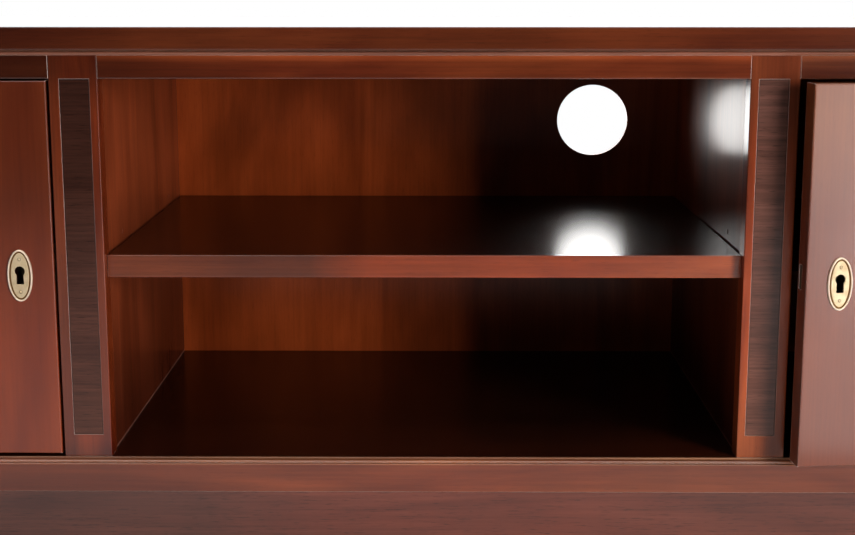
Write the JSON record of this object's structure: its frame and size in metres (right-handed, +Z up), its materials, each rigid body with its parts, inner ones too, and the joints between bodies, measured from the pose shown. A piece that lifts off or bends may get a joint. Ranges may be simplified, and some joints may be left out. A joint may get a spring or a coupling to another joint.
{
  "type": "tv cabinet",
  "caption": "Low television cabinet of dark mahogany: an open middle bay with a shelf between two flush locking doors, on a moulded plinth with dark inlay.",
  "frame": {"origin": "on the ground, midway along the width and midway between the pilasters' faces and the back of the carcass, on the underside of the middle glide", "axes": "+X along the width to the right as seen from the front, +Y to the back, so that the doors face -Y, +Z up"},
  "size_m": [1.5, 0.4353, 0.478],
  "materials": {
    "mahogany": "dark red-brown lacquer, satin gloss",
    "dark_veneer": "dark cross-grained veneer under the same lacquer",
    "back_veneer": "veneered panel, orange-brown lacquer, satin",
    "plain_wood": "bare or oiled wood where it is out of sight",
    "brass": "pale polished brass",
    "glide": "dark smooth plastic"
  },
  "bodies": {
    "cabinet": {"base_moulding_front": "mahogany", "base_moulding_left": "mahogany", "base_moulding_right": "mahogany", "carcass_floor": "mahogany", "carcass_top": "mahogany", "centre_back_panel": "back_veneer", "centre_shelf": "mahogany", "centre_shelf_lipping": "mahogany", "centre_top_rail": "mahogany", "door_stops": "mahogany", "floor_glides": "glide", "hinge_frame_leaves": "brass", "left_back_panel": "back_veneer", "left_inner_inlay": "dark_veneer", "left_inner_pilaster": "mahogany", "left_outer_inlay": "dark_veneer", "left_outer_pilaster": "mahogany", "left_partition": "mahogany", "left_shelf": "mahogany", "left_side": "mahogany", "left_top_rail": "mahogany", "plinth_back": "plain_wood", "plinth_corner_blocks": "plain_wood", "plinth_front": "mahogany", "plinth_front_inlay": "dark_veneer", "plinth_left": "mahogany", "plinth_left_inlay": "dark_veneer", "plinth_middle_bearer": "plain_wood", "plinth_right": "mahogany", "plinth_right_inlay": "dark_veneer", "right_back_panel": "back_veneer", "right_inner_inlay": "dark_veneer", "right_inner_pilaster": "mahogany", "right_outer_inlay": "dark_veneer", "right_outer_pilaster": "mahogany", "right_partition": "mahogany", "right_shelf": "mahogany", "right_side": "mahogany", "right_top_rail": "mahogany", "shelf_pins": "brass", "strike_plates": "brass", "top_bead_front": "mahogany", "top_bead_left": "mahogany", "top_bead_right": "mahogany", "top_board": "mahogany", "top_spacer_back": "plain_wood"},
    "left_door": {"left_door_panel": "mahogany", "left_hinge_leaves": "brass", "left_lock_case": "brass", "left_key_plate": "brass"},
    "right_door": {"right_door_panel": "mahogany", "right_hinge_leaves": "brass", "right_lock_case": "brass", "right_key_plate": "brass"},
    "left_bolt": {"left_lock_bolt": "brass"},
    "right_bolt": {"right_lock_bolt": "brass"}
  },
  "joints": [
    {"name": "left_door_swing", "type": "hinge", "parent": "cabinet", "child": "left_door", "pos_m": [-0.692, -0.2035, 0.2675], "axis": [0, 0, -1], "range_deg": [0, 180]},
    {"name": "right_door_swing", "type": "hinge", "parent": "cabinet", "child": "right_door", "pos_m": [0.692, -0.2035, 0.2675], "axis": [0, 0, 1], "range_deg": [-5.4, 174.6]},
    {"name": "left_bolt_throw", "type": "slide", "parent": "left_door", "child": "left_bolt", "axis": [1, 0, 0], "range_m": [0, 0.01]},
    {"name": "right_bolt_throw", "type": "slide", "parent": "right_door", "child": "right_bolt", "axis": [-0.9956, -0.0941, 0], "range_m": [0, 0.01]}
  ]
}
